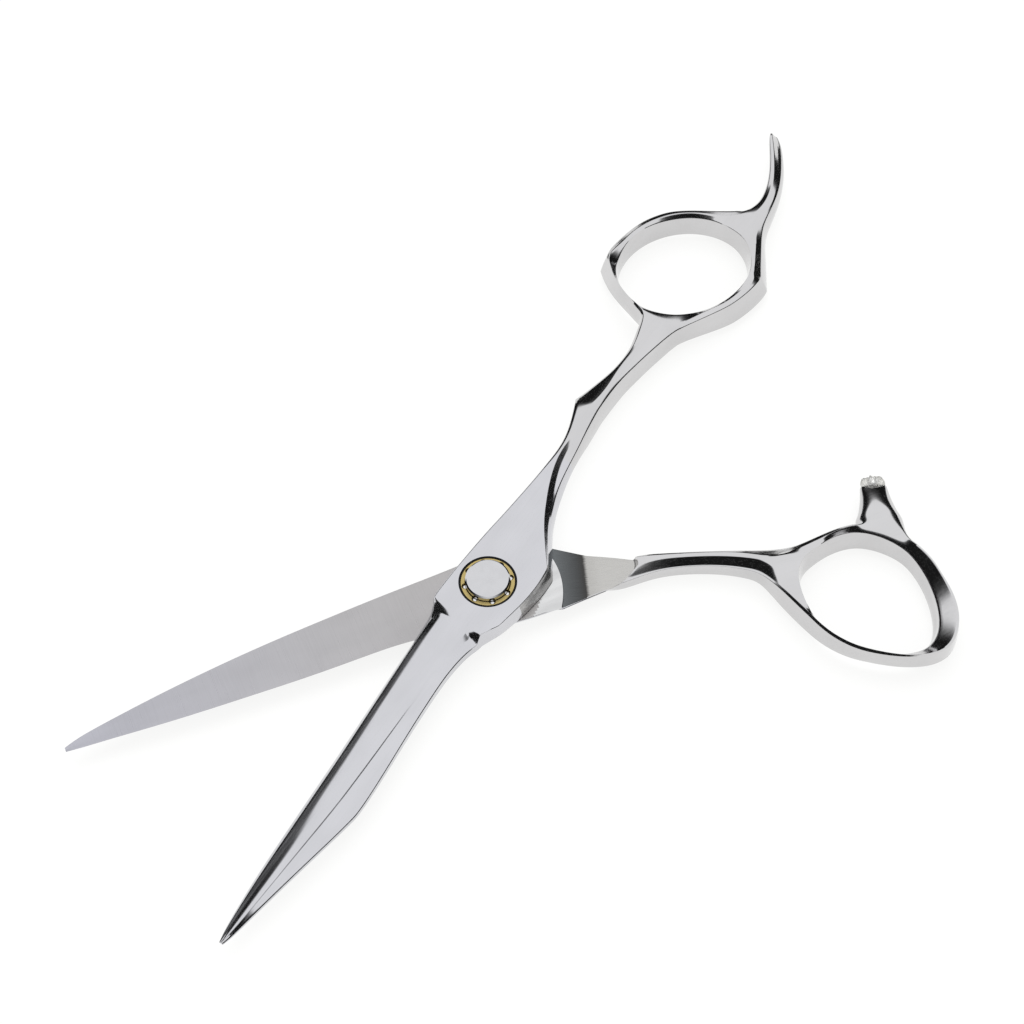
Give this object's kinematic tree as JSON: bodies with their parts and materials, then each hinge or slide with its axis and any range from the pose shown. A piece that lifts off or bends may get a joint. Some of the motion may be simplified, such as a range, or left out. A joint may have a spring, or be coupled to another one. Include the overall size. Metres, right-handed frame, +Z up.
{
  "type": "hair cutting shears",
  "caption": "Hair cutting shears with offset ring handles, a fixed finger rest, a ball bearing pivot with a tension dial, and a clear bumper on the thumb ring.",
  "frame": {"origin": "middle of the pivot's flat rear head, which rests on the table", "axes": "+Z up along the pivot's axis, +X from the handles towards the tips, halfway between the open blades"},
  "size_m": [0.1704, 0.0972, 0.0078],
  "materials": {
    "blade_steel": "hard stainless blade steel, mirror polished outside and fine satin inside",
    "handle_steel": "polished stainless handle",
    "hardware_steel": "turned and polished stainless",
    "ball_steel": "bright bearing steel",
    "cage_brass": "turned brass",
    "bush_bronze": "sintered bronze",
    "seal_rubber": "black rubber",
    "nylon": "natural nylon",
    "clear_silicone": "clear silicone"
  },
  "bodies": {
    "finger_half": {"finger_blade": "blade_steel", "finger_handle": "handle_steel", "pivot_bush": "bush_bronze", "bearing_race": "hardware_steel", "dial_seal": "seal_rubber"},
    "thumb_half": {"thumb_blade": "blade_steel", "thumb_handle": "handle_steel", "pivot_post": "hardware_steel", "blade_washer": "nylon", "bumper_stop": "clear_silicone", "bumper_stud": "hardware_steel"},
    "ball_cage": {"bearing_cage": "cage_brass", "bearing_balls": "ball_steel"},
    "dial": {"tension_dial": "hardware_steel", "dial_lock_ring": "nylon"}
  },
  "joints": [
    {"name": "blade_pivot", "type": "hinge", "parent": "finger_half", "child": "thumb_half", "pos_m": [0, 0, 0.0036], "axis": [0, 0, 1], "range_deg": [-56, 34.8]},
    {"name": "bearing_cage_turn", "type": "hinge", "parent": "finger_half", "child": "ball_cage", "pos_m": [0, 0, 0.0036], "axis": [0, 0, 1], "range_deg": [-28.5, 17.9]},
    {"name": "tension_dial_turn", "type": "hinge", "parent": "thumb_half", "child": "dial", "pos_m": [0, 0, 0.0036], "axis": [0, 0, 1], "range_deg": [-90, 90]}
  ],
  "couplings": [
    {"joint": "bearing_cage_turn", "follows": "blade_pivot", "ratio": 0.5}
  ]
}
